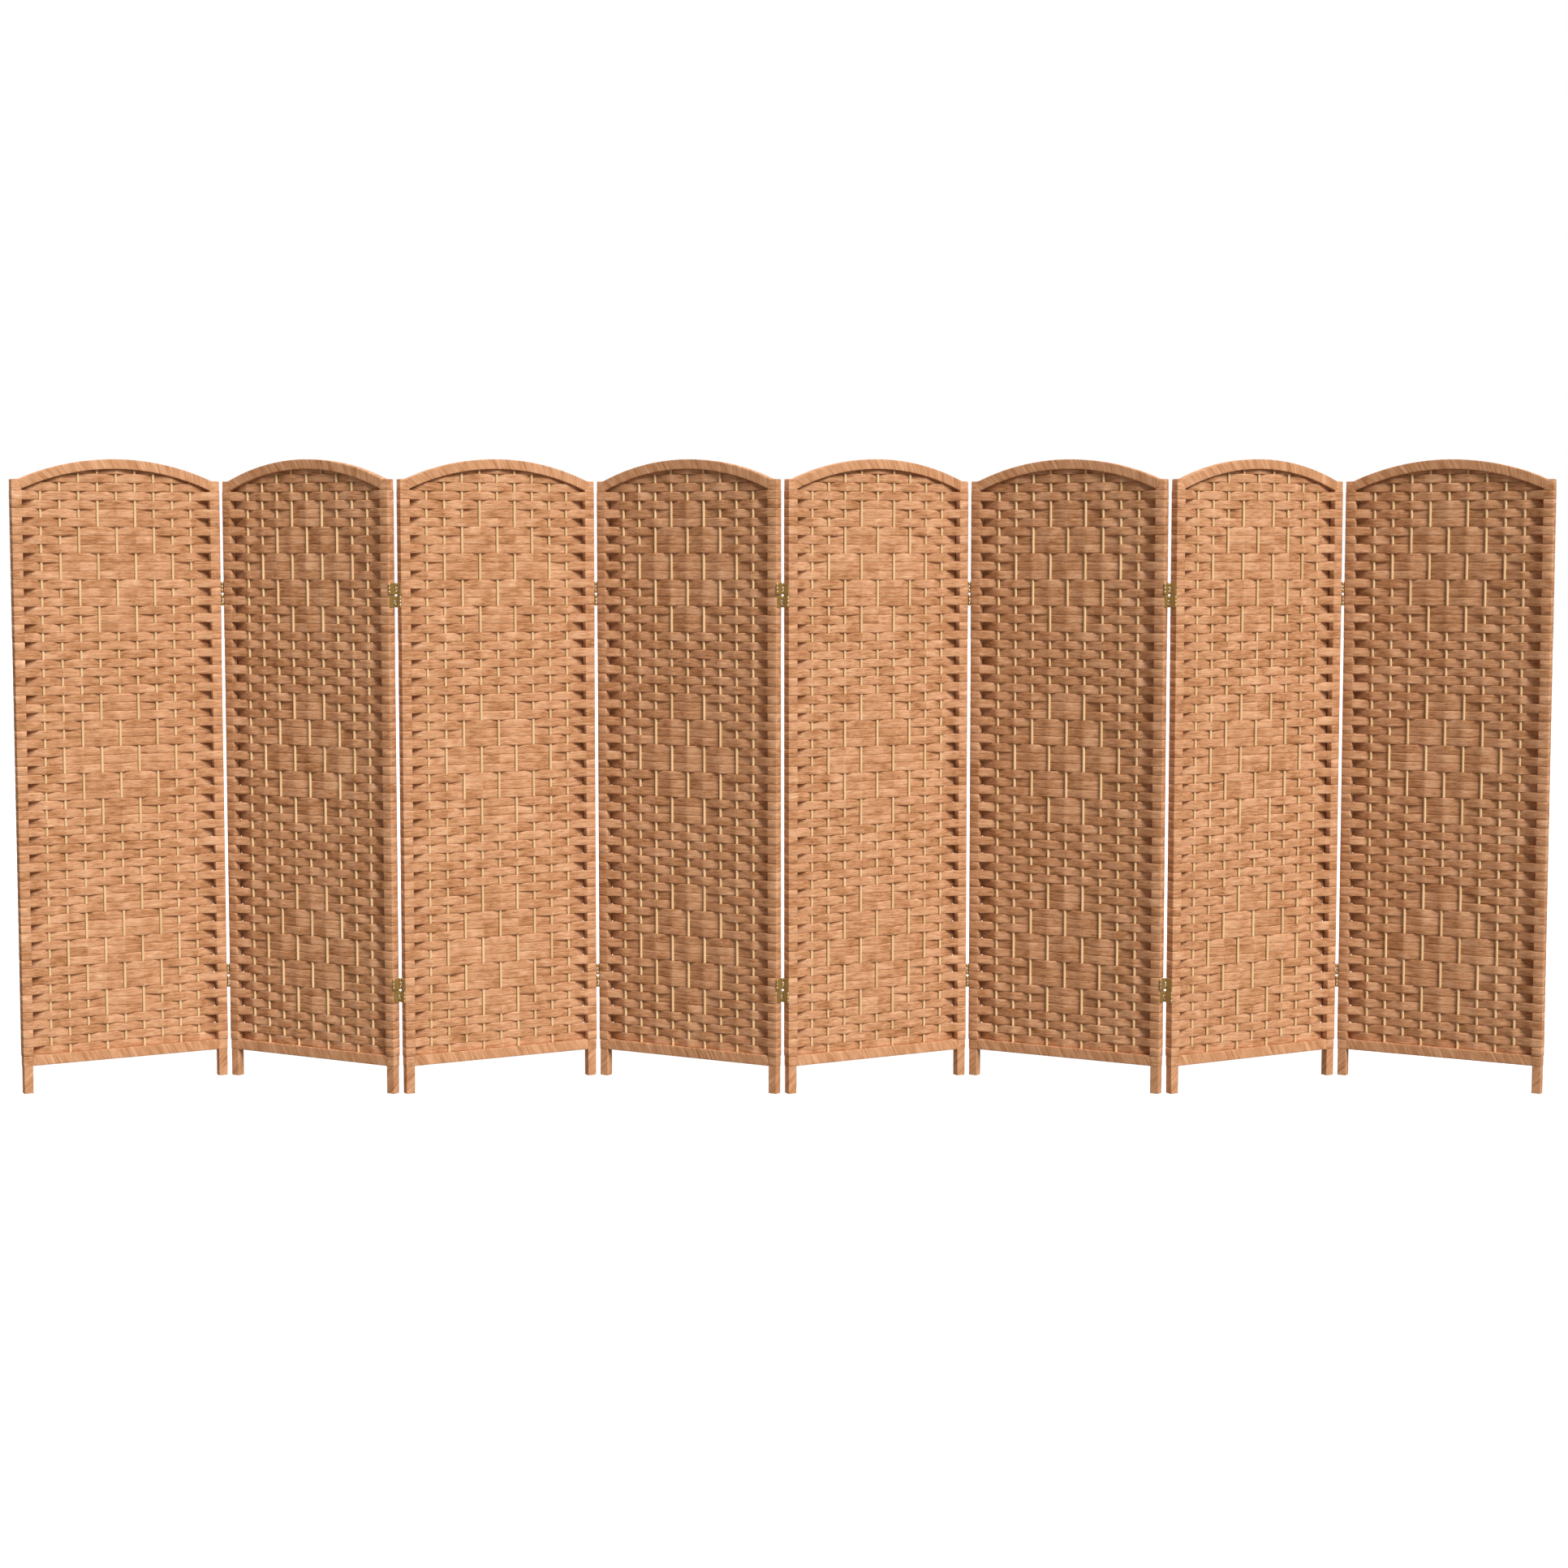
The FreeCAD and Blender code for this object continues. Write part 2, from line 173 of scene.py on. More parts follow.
# The rows under the arch.
TOP_ROW_COLUMNS = 61
TOP_ROW_TUCK = 1 * MM              # they go this far into the arch's winding
TOP_ROW_LEAST = 2 * MM             # least height at their ends

# The windings: how far a bundle of strips advances along its bar in a turn, and how many strips it has.
LEG_ADVANCE = 78 * MM
LEG_STRIPS = 6
RAIL_ADVANCE = 50 * MM
RAIL_STRIPS = 4
ARCH_ADVANCE = 52 * MM
ARCH_STRIPS = 4
WOUND_RELIEF = 0.15 * MM           # a wound strip's middle stands this far above its edges
WOUND_CORNER = 0.8 * MM
WOUND_SLIVER = 0.2 * MM            # a strip stops where the bar's end leaves less of its width
BAND_HALF = 0.6 * MM               # half the thickness of the plain band on a leg

# The bound post tops, ring by ring from below: how far in from the sides, and how high.
CAP_INSETS = np.array([2.5, 0.7, 0, 0, 0.2, 0.8, 2, 6, 9.5]) * MM
CAP_HEIGHTS = np.concatenate([
    np.array([0, 0, 0.7, 1.4]) * MM + LOOPS_HIGH,
    np.array([-1.8, -0.6, 0, 0, 0]) * MM + POST_HEIGHT,
])
CAP_WIDEST = 2                     # the first ring without an inset
CAP_CORNER = 1.4 * MM
CAP_LEAST_CORNER = 0.5 * MM

# Lanes of the UV map: each strip has one of its own, so no two strips of a finish have the same fibres.
LANE_LOW = 0.01                    # a strip's edges in its lane
LANE_HIGH = 0.99
WEFT_LANES = 100                   # for each panel
WOUND_LANES = 1000                 # for each panel
LEG_LANES = 20                     # for each leg
BAND_LANE = 10
RAIL_LANE = 100
ARCH_LANE = 200
CAP_LANE = 300
CAP_LANES = 10                     # for each post top

SHARP_ANGLE = 70                   # degrees between two faces from which their edge stays sharp


def weave_signs():
    """Side on which each row, from the top, passes each upright, posts included: 1 in front, -1 behind.

    Plain weave alternates along the rows and between them. In each group of three rows of a diamond, from
    the first to the last stake that it leaves in view, the strips run behind those stakes alone.
    """
    rows = np.arange(1, ROWS + 1)[:, None]
    uprights = np.arange(STAKES + 2)
    signs = np.where((rows + uprights) % 2, -1, 1)
    for top in DIAMOND_TOPS:
        for number, shown in enumerate(DIAMOND_STAKES):
            first = top - 1 + number * GROUP_ROWS
            group = signs[first:first + GROUP_ROWS]
            group[:, shown[0]:shown[-1] + 1] = 1
            group[:, shown] = -1
    return signs


SIGNS = weave_signs()

# A strip's section: shares of its half width and half thickness, from one edge over the face and back.
WOVEN_SECTION = np.array([
    (-1, 0), (-0.94, 0.7), (-0.6, 1), (0.6, 1), (0.94, 0.7), (1, 0), (0.94, -0.7), (0, -1), (-0.94, -0.7),
])
WOUND_SECTION = np.array([(-1, 0), (-0.9, 0.7), (-0.4, 1), (0.4, 1), (0.9, 0.7), (1, 0), (0, -0.5)])


def strips(middle, across, outward, along, lane, section, closed=False):
    """Flat strips side by side: a section carried along each middle line.

    A point is the middle line plus the section's first share of across, which reaches from the middle to
    the edge, plus its second share of outward, which reaches to the face. The UV map holds the way along
    the strip, and the place across it between the two edges that lane gives. Closed strips have no ends.
    """
    count, columns = middle.shape[:2]
    sides = len(section)
    points = (
        middle[:, :, None]
        + section[:, 0, None] * across[:, :, None]
        + section[:, 1, None] * outward[:, :, None]
    )
    u = np.broadcast_to(along[..., None], (count, columns, sides))
    low, high = lane
    v = (low + high)[..., None] / 2 + (high - low)[..., None] / 2 * section[:, 0]
    v = np.broadcast_to(v, (count, columns, sides))
    number = np.arange(count * columns * sides).reshape(count, columns, sides)
    here = number if closed else number[:, :-1]
    ahead = np.roll(number, -1, 1) if closed else number[:, 1:]
    quads = np.stack([here, ahead, np.roll(ahead, -1, 2), np.roll(here, -1, 2)], -1).reshape(-1, 4)
    ends = [] if closed else [*number[:, 0], *number[:, -1, ::-1]]
    return points.reshape(-1, 3), quads, ends, np.stack([u, v], -1).reshape(-1, 2)


def whole_lane(number):
    """Edges of a strip's lane in the UV map, just inside the lane's whole numbers."""
    number = np.atleast_1d(number)[:, None]
    return number + LANE_LOW, number + LANE_HIGH


def ripple(count, way, lengths, height, rng):
    """Uneven lines: for each line, the mean of a few sine waves along the way, with random starts."""
    starts = rng.uniform(0, 2 * pi, (count, len(lengths), 1))
    waves = np.sin(2 * pi * way / lengths[:, None] + starts)
    return height * waves.mean(1)


def weft_depth(signs, place, post_reach):
    """Y of the strips at places counted in stake pitches from the inner side of the left post's loops.

    A strip stands off each upright to the side that its sign says, and between two uprights it goes
    straight from one to the other.
    """
    reach = np.full(STAKES + 2, STRIP_REACH)
    reach[[0, -1]] = post_reach
    anchors = -signs * reach
    left = np.minimum(place.astype(int), STAKES)
    share = place - left
    return anchors[:, left] * (1 - share) + anchors[:, left + 1] * share


def rounded_ring(half_a, half_b, radius, arc_steps=3, side_points=1):
    """Rounded rectangle, counter-clockwise: points, outward normals, share of the way round, and girth.

    Four quarter circles, with some more points evenly along each straight side.
    """
    quarter = np.linspace(0, pi / 2, arc_steps + 1)
    shares = np.arange(1, side_points + 1)[:, None] / (side_points + 1)
    centres = np.array([(1, 1), (-1, 1), (-1, -1), (1, -1)]) * (half_a - radius, half_b - radius)
    points = []
    normals = []
    for turn, centre in enumerate(centres):
        angle = quarter + turn * pi / 2
        normal = np.stack([np.cos(angle), np.sin(angle)], -1)
        side = centre + shares * (centres[(turn + 1) % 4] - centre) + radius * normal[-1]
        points += [*(centre + radius * normal), *side]
        normals += [*normal, *np.tile(normal[-1], (side_points, 1))]
    points = np.array(points)
    steps = np.linalg.norm(np.roll(points, -1, 0) - points, axis=1)
    way = np.concatenate([[0], np.cumsum(steps)])
    return points, np.array(normals), way[:-1] / way[-1], way[-1]


def loop_path():
    """Way of a strip round the right post from the front of its inner side, seen from above.

    It follows the front, the outer side and the back through three rounded corners, and ends on the inner
    side.
    """
    half_x = HALF_WIDTH - POST_X - LOOP_INSET
    half_y = LOOP_Y - LOOP_INSET
    quarter = np.linspace(0, pi / 2, 3)
    corners = []
    for turn, (side_x, side_y) in enumerate(((1, -1), (1, 1), (-1, 1))):
        angle = quarter + (turn - 1) * pi / 2
        centre = np.array([side_x * (half_x - LOOP_CORNER), side_y * (half_y - LOOP_CORNER)])
        corners.append(centre + LOOP_CORNER * np.stack([np.cos(angle), np.sin(angle)], -1))
    path = np.concatenate([
        [(-0.5 * half_x, -half_y), (0, -half_y)],
        corners[0], [(half_x, 0)],
        corners[1], [(0, half_y)],
        corners[2], [(-half_x, 0), (-half_x, LOOP_END_GAP - half_y)],
    ])
    return path + (POST_X, 0)


def strip_normals(path):
    """Unit normals of paths in plan, to the right of the way along them."""
    ahead = np.gradient(path, axis=1)
    ahead /= np.linalg.norm(ahead, axis=-1, keepdims=True)
    return np.stack([ahead[..., 1], -ahead[..., 0]], -1)


def standing_strips(path, low, high, along, lane):
    """Strips on edge: their paths are in plan, and their edges at the heights low and high."""
    middle = np.concatenate([path, ((low + high) / 2)[..., None]], -1)
    across = np.zeros_like(middle)
    across[..., 2] = (high - low) / 2
    outward = np.zeros_like(middle)
    outward[..., :2] = STRIP_HALF * strip_normals(path)
    along = np.broadcast_to(along, low.shape)
    return strips(middle, across, outward, along, whole_lane(lane), WOVEN_SECTION)


def row_edges(place, y, uneven, rng):
    """Heights of the lower and upper edges of the looped rows, from post to post.

    Neighbouring rows share an uneven edge across the panel, and on the posts the edges are level. Strips are
    a little wider than their rows: where two of them are apart in depth, their edges overlap.
    """
    count = len(y)
    x = (place - (STAKES + 1) / 2) * STAKE_PITCH
    edges = WEAVE_LOW + ROW_PITCH * np.arange(count, -1, -1)[:, None] + np.zeros(len(x))
    edges[1:-1] += uneven * ripple(count - 1, x, EDGE_WAVES, EDGE_RIPPLE, rng)
    edges[:-1] -= uneven * ROW_SAG
    step = np.diff(y, axis=0)
    from_post = np.minimum(place, STAKES + 1 - place)
    apart = np.clip(np.abs(step) - 2 * STRIP_HALF, 0, None) * np.clip(STEPS * from_post, 0, 1)
    behind = SPREAD_BEHIND + SPREAD_POSTS * np.clip(1 - from_post, 0, 1)
    upper = np.where(step > 0, SPREAD_FRONT, behind) * apart
    lower = np.where(step > 0, behind, SPREAD_FRONT) * apart
    low = edges[1:] - ROW_LAP
    high = edges[:-1] + ROW_LAP
    low[:-1] -= np.minimum(upper, SPREAD_LIMIT)
    high[1:] += np.minimum(lower, SPREAD_LIMIT)
    return low, high


def looped_rows(panel, rng):
    """The rows that go across the panel and round both posts.

    In plan: a loop round the left post, the weft across the stakes, and a loop round the right post. Rows in
    front of the posts go round them from the front, and the others from the back.
    """
    signs = SIGNS[TOP_ROWS:]
    count = len(signs)
    place = np.linspace(0, STAKES + 1, (STAKES + 1) * STEPS + 1)
    x = (place - (STAKES + 1) / 2) * STAKE_PITCH
    uneven = np.clip((HALF_WIDTH - EVEN_ENDS - np.abs(x)) / EVEN_FADE, 0, 1)
    y = weft_depth(signs, place, LOOP_Y - LOOP_INSET)
    y = y + uneven * ripple(count, x, DEPTH_WAVES, DEPTH_RIPPLE, rng)
    weft = np.stack([np.broadcast_to(x, y.shape), y], -1)
    post_loop = loop_path()
    loops = np.broadcast_to(post_loop, (count, *post_loop.shape)).copy()
    loops[..., 1] *= signs[:, :1]
    path = np.concatenate([loops[:, ::-1] * (-1, 1), weft, loops], 1)
    front_row = weft[signs[:, -1] == 1][0]
    loop_steps = np.diff(post_loop, axis=0, prepend=front_row[-1:])
    loop_way = np.cumsum(np.linalg.norm(loop_steps, axis=1)) / STAKE_PITCH
    along = np.concatenate([-loop_way[::-1], place, STAKES + 1 + loop_way])
    low, high = row_edges(place, y, uneven, rng)
    ends = len(loop_way)
    low = np.pad(low, ((0, 0), (ends, ends)), "edge")
    high = np.pad(high, ((0, 0), (ends, ends)), "edge")
    lane = WEFT_LANES * panel + np.arange(TOP_ROWS + 1, ROWS + 1)
    return standing_strips(path, low, high, along, lane)


def arch_underside(x):
    """Height of the arch's underside: its centre's, plus that of the inner arc at x over the centre."""
    return ARCH_CENTRE + np.sqrt(ARCH_INNER**2 - x**2)


def top_row(panel, number):
    """One of the rows above the post loops, trimmed by the arch and tucked a little into its winding.

    It is as long as the arch leaves room for, and its upper edge is level or follows the arch's underside.
    """
    low = WEAVE_LOW + ROW_PITCH * (ROWS - number) - ROW_SAG - ROW_LAP
    reach = sqrt(ARCH_INNER**2 - (low + TOP_ROW_LEAST - TOP_ROW_TUCK - ARCH_CENTRE) ** 2)
    reach = min(reach, POST_INNER - CAP_WRAP)
    x = np.linspace(-reach, reach, TOP_ROW_COLUMNS)
    place = x / STAKE_PITCH + (STAKES + 1) / 2
    y = weft_depth(SIGNS[number - 1:number], place, STRIP_REACH)
    high = np.minimum(low + ROW_PITCH + 2 * ROW_LAP, arch_underside(x) + TOP_ROW_TUCK)[None]
    path = np.stack([x[None], y], -1)
    return standing_strips(path, np.full_like(high, low), high, place, WEFT_LANES * panel + number)


def winding(bar, length, half_a, half_b, advance, count, lane):
    """Strips wound side by side round a bar: a turn of the bundle advances along the bar by its own width.

    bar(t, a, b) gives the point at t along the bar, a and b in its section. A strip's first edge is at
    advance times the turns so far, plus its own place in the bundle, and both its edges stop at the bar's
    ends.
    """
    width = advance / count
    half_a = half_a - WOUND_RELIEF
    half_b = half_b - WOUND_RELIEF
    ring, normals, share, _ = rounded_ring(half_a, half_b, WOUND_CORNER, arc_steps=2, side_points=5)
    # The way starts some turns before the bar and goes on past it, so that each strip is cut at both ends.
    before = 2
    turns = int(length / advance) + 3
    way = (np.arange(-before, turns)[:, None] + share).ravel()
    ring = np.tile(ring, (turns + before, 1))
    normals = np.tile(normals, (turns + before, 1))
    pieces = []
    for number in range(count):
        edge = advance * way + number * width
        low = np.clip(edge, 0, length)
        high = np.clip(edge + width, 0, length)
        kept = high - low > WOUND_SLIVER
        edge = edge[kept]
        low = low[kept]
        high = high[kept]
        a, b = ring[kept].T
        start = bar(low, a, b)
        end = bar(high, a, b)
        face_a, face_b = (ring[kept] + WOUND_RELIEF * normals[kept]).T
        outward = bar((low + high) / 2, face_a, face_b) - bar((low + high) / 2, a, b)
        first = lane + number + LANE_LOW
        edges = [first + (LANE_HIGH - LANE_LOW) * ((side - edge) / width)[None] for side in (low, high)]
        pieces.append(strips(
            ((start + end) / 2)[None],
            ((end - start) / 2)[None],
            outward[None],
            way[kept][None],
            edges,
            WOUND_SECTION,
        ))
    return pieces


def leg_band(bar, lane):
    """Plain closed band round a leg, between the leg's winding and the lowest row: a strip on a ring."""
    half_x = POST_WIDTH / 2 + JOINT_WRAP - BAND_HALF
    half_y = CORE_Y + JOINT_WRAP - BAND_HALF
    ring, normals, share, girth = rounded_ring(half_x, half_y, WOUND_CORNER)
    height = WEAVE_LOW - LEG_HEIGHT
    middle = bar(np.full(len(ring), LEG_HEIGHT + height / 2), *ring.T)
    across = np.zeros_like(middle)
    across[:, 2] = height / 2
    outward = np.zeros_like(middle)
    outward[:, :2] = BAND_HALF * normals
    along = share * girth / STAKE_PITCH
    lanes = whole_lane(lane)
    return strips(middle[None], across[None], outward[None], along[None], lanes, WOVEN_SECTION, closed=True)


def leg_windings(panel):
    """Both legs wound at a steep slant, and the plain band where each meets the bottom rail."""
    pieces = []
    half_x = POST_WIDTH / 2 + LEG_WRAP
    half_y = CORE_Y + LEG_WRAP
    for number, middle_x in enumerate((-POST_X, POST_X)):
        def leg(t, a, b, middle_x=middle_x):
            return np.stack([middle_x + a, b, t], -1)

        lane = WOUND_LANES * panel + LEG_LANES * number
        pieces += winding(leg, LEG_HEIGHT, half_x, half_y, LEG_ADVANCE, LEG_STRIPS, lane)
        pieces.append(leg_band(leg, lane + BAND_LANE))
    return pieces


def rail_windings(panel):
    """The bottom rail and the arch, each wound with a bundle of strips.

    Along the rail t goes straight from left to right, and along the arch it is the arc at mid-depth.
    """
    rail_end = POST_INNER - JOINT_WRAP
    rail_half = (WEAVE_LOW - LEG_HEIGHT) / 2
    rail_lane = WOUND_LANES * panel + RAIL_LANE
    arch_half = ARCH_DEPTH / 2
    arch_middle = ARCH_OUTER - arch_half
    arch_turn = asin((POST_INNER - CAP_WRAP) / ARCH_INNER)
    arch_length = 2 * arch_turn * arch_middle
    arch_lane = WOUND_LANES * panel + ARCH_LANE

    def rail(t, a, b):
        return np.stack([t - rail_end, a, LEG_HEIGHT + rail_half + b], -1)

    def arch(t, a, b):
        turn = t / arch_middle - arch_turn
        radius = arch_middle + b
        return np.stack([radius * np.sin(turn), a, ARCH_CENTRE + radius * np.cos(turn)], -1)

    return [
        *winding(rail, 2 * rail_end, RAIL_HALF_Y, rail_half, RAIL_ADVANCE, RAIL_STRIPS, rail_lane),
        *winding(arch, arch_length, ARCH_HALF_Y, arch_half, ARCH_ADVANCE, ARCH_STRIPS, arch_lane),
    ]


def post_caps(panel):
    """Bound tops of both posts.

    Rounded rings that rise up the sides, turn over the top edge and close on top.
    """
    levels = len(CAP_INSETS)
    rings = [
        rounded_ring(
            POST_WIDTH / 2 + CAP_WRAP - inset,
            CORE_Y + CAP_WRAP - inset,
            max(CAP_CORNER - inset / 2, CAP_LEAST_CORNER),
        )
        for inset in CAP_INSETS
    ]
    _, _, share, girth = rings[CAP_WIDEST]
    count = len(share)
    way = np.concatenate([[0], np.cumsum(np.abs(np.diff(CAP_INSETS)) + np.abs(np.diff(CAP_HEIGHTS)))])
    u = np.broadcast_to(share * girth / STAKE_PITCH, (levels, count))
    v = np.broadcast_to((way / ROW_PITCH)[:, None], u.shape)
    index = np.arange(levels * count).reshape(levels, count)
    here = index[:-1]
    above = index[1:]
    quads = np.stack([here, np.roll(here, -1, 1), np.roll(above, -1, 1), above], -1).reshape(-1, 4)
    ends = [index[0, ::-1], index[-1]]
    pieces = []
    for number, middle_x in enumerate((-POST_X, POST_X)):
        points = np.zeros((levels, count, 3))
        points[..., :2] = np.array([ring[0] for ring in rings]) + (middle_x, 0)
        points[..., 2] = CAP_HEIGHTS[:, None]
        lane = WOUND_LANES * panel + CAP_LANE + CAP_LANES * number
        pieces.append((points.reshape(-1, 3), quads, ends, np.stack([u, v + lane], -1).reshape(-1, 2)))
    return pieces


def add_piece(name, panel, pieces, finish, replaced):
    """One mesh out of several strips, carried to its panel, riding on it in place of a CAD node."""
    points = []
    faces = []
    uvs = []
    first = 0
    for piece_points, quads, ends, uv in pieces:
        points.append(piece_points)
        faces += (quads + first).tolist()
        faces += [(end + first).tolist() for end in ends]
        uvs.append(uv)
        first += len(piece_points)
    mesh = bpy.data.meshes.new(name)
    mesh.from_pydata(carried(np.concatenate(points), panel), [], faces)
    corners = np.empty(len(mesh.loops), int)
    mesh.loops.foreach_get("vertex_index", corners)
    layer = mesh.uv_layers.new(name="strip")
    layer.data.foreach_set("uv", np.concatenate(uvs)[corners].astype(np.float32).ravel())
    mesh.polygons.foreach_set("use_smooth", np.ones(len(mesh.polygons), bool))
    mesh.set_sharp_from_angle(angle=radians(SHARP_ANGLE))
    mesh.materials.append(finish)
    piece = bpy.data.objects.new(name, mesh)
    bpy.context.scene.collection.objects.link(piece)
    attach(piece, f"panel_{panel}")
    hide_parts(replaced)


class Value:
    """An output socket that takes part in arithmetic: each operator adds a Math node."""

    def __init__(self, finish, socket):
        self.finish = finish
        self.socket = socket

    def math(self, operation, *terms):
        return self.finish.node("ShaderNodeMath", {"operation": operation}, dict(enumerate(terms)))["Value"]

    def __add__(self, other):
        return self.math("ADD", self, other)

    def __radd__(self, other):
        return self.math("ADD", other, self)

    def __sub__(self, other):
        return self.math("SUBTRACT", self, other)

    def __rsub__(self, other):
        return self.math("SUBTRACT", other, self)

    def __mul__(self, other):
        return self.math("MULTIPLY", self, other)

    def __rmul__(self, other):
        return self.math("MULTIPLY", other, self)

    def floor(self):
        return self.math("FLOOR", self)

    def size(self):
        return self.math("ABSOLUTE", self)

    def clamped(self):
        """The value kept between 0 and 1."""
        return self.finish.node("ShaderNodeClamp", {}, {"Value": self})["Result"]


class Finish:
    """A material with its Principled shader, and the one method that adds nodes to it."""

    def __init__(self, name):
        self.material = bpy.data.materials.new(name)
        self.material.use_nodes = True
        self.tree = self.material.node_tree
        self.shader = self.tree.nodes["Principled BSDF"]

    def put(self, socket, value):
        """Link a value to a socket, or set a plain number or colour on it."""
        if isinstance(value, Value):
            self.tree.links.new(value.socket, socket)
        else:
            socket.default_value = value

    def node(self, kind, settings, inputs):
        """Add a node: its settings first, then its sockets. Gives its outputs by name."""
        node = self.tree.nodes.new(kind)
        for name, value in settings.items():
            if name == "stops":
                ramp = node.color_ramp.elements
                while len(ramp) < len(value):
                    ramp.new(1)
                for stop, (position, colour) in zip(ramp, value):
                    stop.position = position
                    stop.color = (*colour, 1)
            else:
                setattr(node, name, value)
        for key, value in inputs.items():
            sockets = [socket for socket in node.inputs if socket.enabled]
            named = [socket for socket in sockets if socket.name == key]
            self.put(named[0] if named else node.inputs[key], value)
        return {socket.name: Value(self, socket) for socket in node.outputs if socket.enabled}

    def surface(self, **inputs):
        """Set or link sockets of the shader, with underscores for the spaces in their names."""
        for name, value in inputs.items():
            self.put(self.shader.inputs[name.replace("_", " ")], value)
        return self.material

    def noise(self, x, y, z, detail, roughness=0.5):
        """Cloudy noise at a point given by three values or numbers."""
        vector = self.node("ShaderNodeCombineXYZ", {}, {"X": x, "Y": y, "Z": z})["Vector"]
        settings = {"noise_dimensions": "3D"}
        inputs = {"Vector": vector, "Scale": 1, "Detail": detail, "Roughness": roughness}
        return self.node("ShaderNodeTexNoise", settings, inputs)["Fac"]

    def upright_noise(self, across, along, detail, roughness=0.5):
        """Noise on Object coordinates, with X and Y multiplied by across and Z by along."""
        place = self.node("ShaderNodeTexCoord", {}, {})["Object"]
        axes = self.node("ShaderNodeSeparateXYZ", {}, {"Vector": place})
        return self.noise(axes["X"] * across, axes["Y"] * across, axes["Z"] * along, detail, roughness)

    def ramp(self, factor, stops):
        """Colour between the stops, each a place and its shade in screen values."""
        stops = [(position, shade(*colour)) for position, colour in stops]
        return self.node("ShaderNodeValToRGB", {"stops": stops}, {"Fac": factor})["Color"]

    def bump(self, height, distance, strength):
        """Normal of a surface with this relief."""
        inputs = {"Height": height, "Distance": distance, "Strength": strength}
        return self.node("ShaderNodeBump", {}, inputs)["Normal"]


def shade(red, green, blue):
    """Linear colour of a shade given in the usual 0 to 255 screen values."""
    screen = np.array([red, green, blue]) / 255
    return tuple(np.where(screen > 0.04045, ((screen + 0.055) / 1.055) ** 2.4, screen / 12.92).tolist())


def fibre_finish(name, fibres, streaks, tones, grain, dashes, edges):
    """Flat fibre strip: so many fibres across it, so many streaks along each of its stretches.

    The tone changes from stretch to stretch: a stretch goes from one upright to the next, or once round a
    bar. Tones, grain, dashes and edges say how strong the changes of tone, the fibres' lights and darks, the
    short dark dashes between them and the painted shade along the strips' edges are. That painted shade
    stands in for the shadow in the seams between rows.
    """
    fibre = Finish(name)
    strip = fibre.node("ShaderNodeUVMap", {"uv_map": "strip"}, {})["UV"]
    place = fibre.node("ShaderNodeSeparateXYZ", {}, {"Vector": strip})
    along = place["X"]
    lane = place["Y"]
    stretch_along = along.floor()
    stretch_lane = lane.floor()
    stretch = fibre.node("ShaderNodeCombineXYZ", {}, {"X": stretch_along, "Y": stretch_lane})["Vector"]
    tone = fibre.node("ShaderNodeTexWhiteNoise", {"noise_dimensions": "3D"}, {"Vector": stretch})["Value"]
    # Patterns along and across a strip, each in a layer of its own, so that they differ.
    fine = fibre.noise(along * streaks, lane * fibres, 0, detail=4, roughness=0.65)
    broad = fibre.noise(along * (streaks / 2), lane * (fibres / 4), 7.7, detail=1)
    patch = fibre.noise(along * (streaks / 1.8), lane * 0.7, 3.1, detail=1)
    dash = fibre.noise(along * (streaks * 2.2), lane * (fibres / 2), 5.3, detail=2, roughness=0.6)
    # Dashes are where their pattern is above a limit. The painted seam shade lies on the outer twentieth of
    # the width, where the shadow between rows falls.
    dash_limit = 0.56
    dash_slope = 5
    seam_shade_share = 0.05
    dark_dash = ((dash - dash_limit) * dash_slope).clamped()
    off_middle = (lane - stretch_lane - 0.5).size()
    painted_seam_shade = ((off_middle - (0.5 - seam_shade_share)) * (1 / seam_shade_share)).clamped()
    # All of it lightens or darkens a middle tone: every pattern has its mean at a half.
    middle_tone = 0.54
    slow = (broad - 0.5) * 0.6 + (patch - 0.5) * 0.55 + (tone - 0.5) * tones
    # The edges' term darkens the colour along both edges of a strip: painted shade for the seams between
    # rows.
    mix = middle_tone + (fine - 0.5) * grain + slow - dark_dash * dashes - painted_seam_shade * edges
    colour = fibre.ramp(mix, [
        (0.0, (122, 74, 40)),
        (0.3, (168, 114, 73)),
        (0.5, (192, 138, 98)),
        (0.7, (210, 158, 119)),
        (1.0, (232, 186, 146)),
    ])
    return fibre.surface(
        Base_Color=colour,
        Roughness=0.85 - mix * 0.25,
        Specular_IOR_Level=0.15,
        Normal=fibre.bump(fine * 0.7 + broad * 0.3, 0.5 * MM, 0.5),
    )


def bamboo_finish():
    """Pale split bamboo: faint upright streaks and slow changes of tone along a stake."""
    bamboo = Finish("pale_bamboo")
    streaks = bamboo.upright_noise(across=900, along=9, detail=2)
    slow = bamboo.upright_noise(across=20, along=6, detail=1)
    colour = bamboo.ramp(streaks * 0.6 + slow * 0.4, [
        (0.25, (197, 158, 109)),
        (0.5, (224, 190, 142)),
        (0.75, (236, 209, 166)),
    ])
    return bamboo.surface(
        Base_Color=colour,
        Roughness=0.55 - streaks * 0.2,
        Normal=bamboo.bump(streaks, 0.2 * MM, 0.4),
    )


def brass_finish():
    """Stamped brass plate: faintly mottled and dull under its lacquer, with fine scratches."""
    brass = Finish("dull_brass")
    cloud = brass.upright_noise(across=260, along=260, detail=3)
    scratches = brass.upright_noise(across=300, along=2500, detail=2)
    colour = brass.ramp(cloud, [
        (0.3, (164, 130, 63)),
        (0.5, (181, 145, 74)),
        (0.7, (197, 162, 88)),
    ])
    return brass.surface(
        Base_Color=colour,
        Metallic=0.5,
        Roughness=0.2 + cloud * 0.2,
        Coat_Weight=1.0,
        Coat_Roughness=0.35,
        Coat_IOR=2.2,
        Normal=brass.bump(scratches, 0.05 * MM, 0.3),
    )


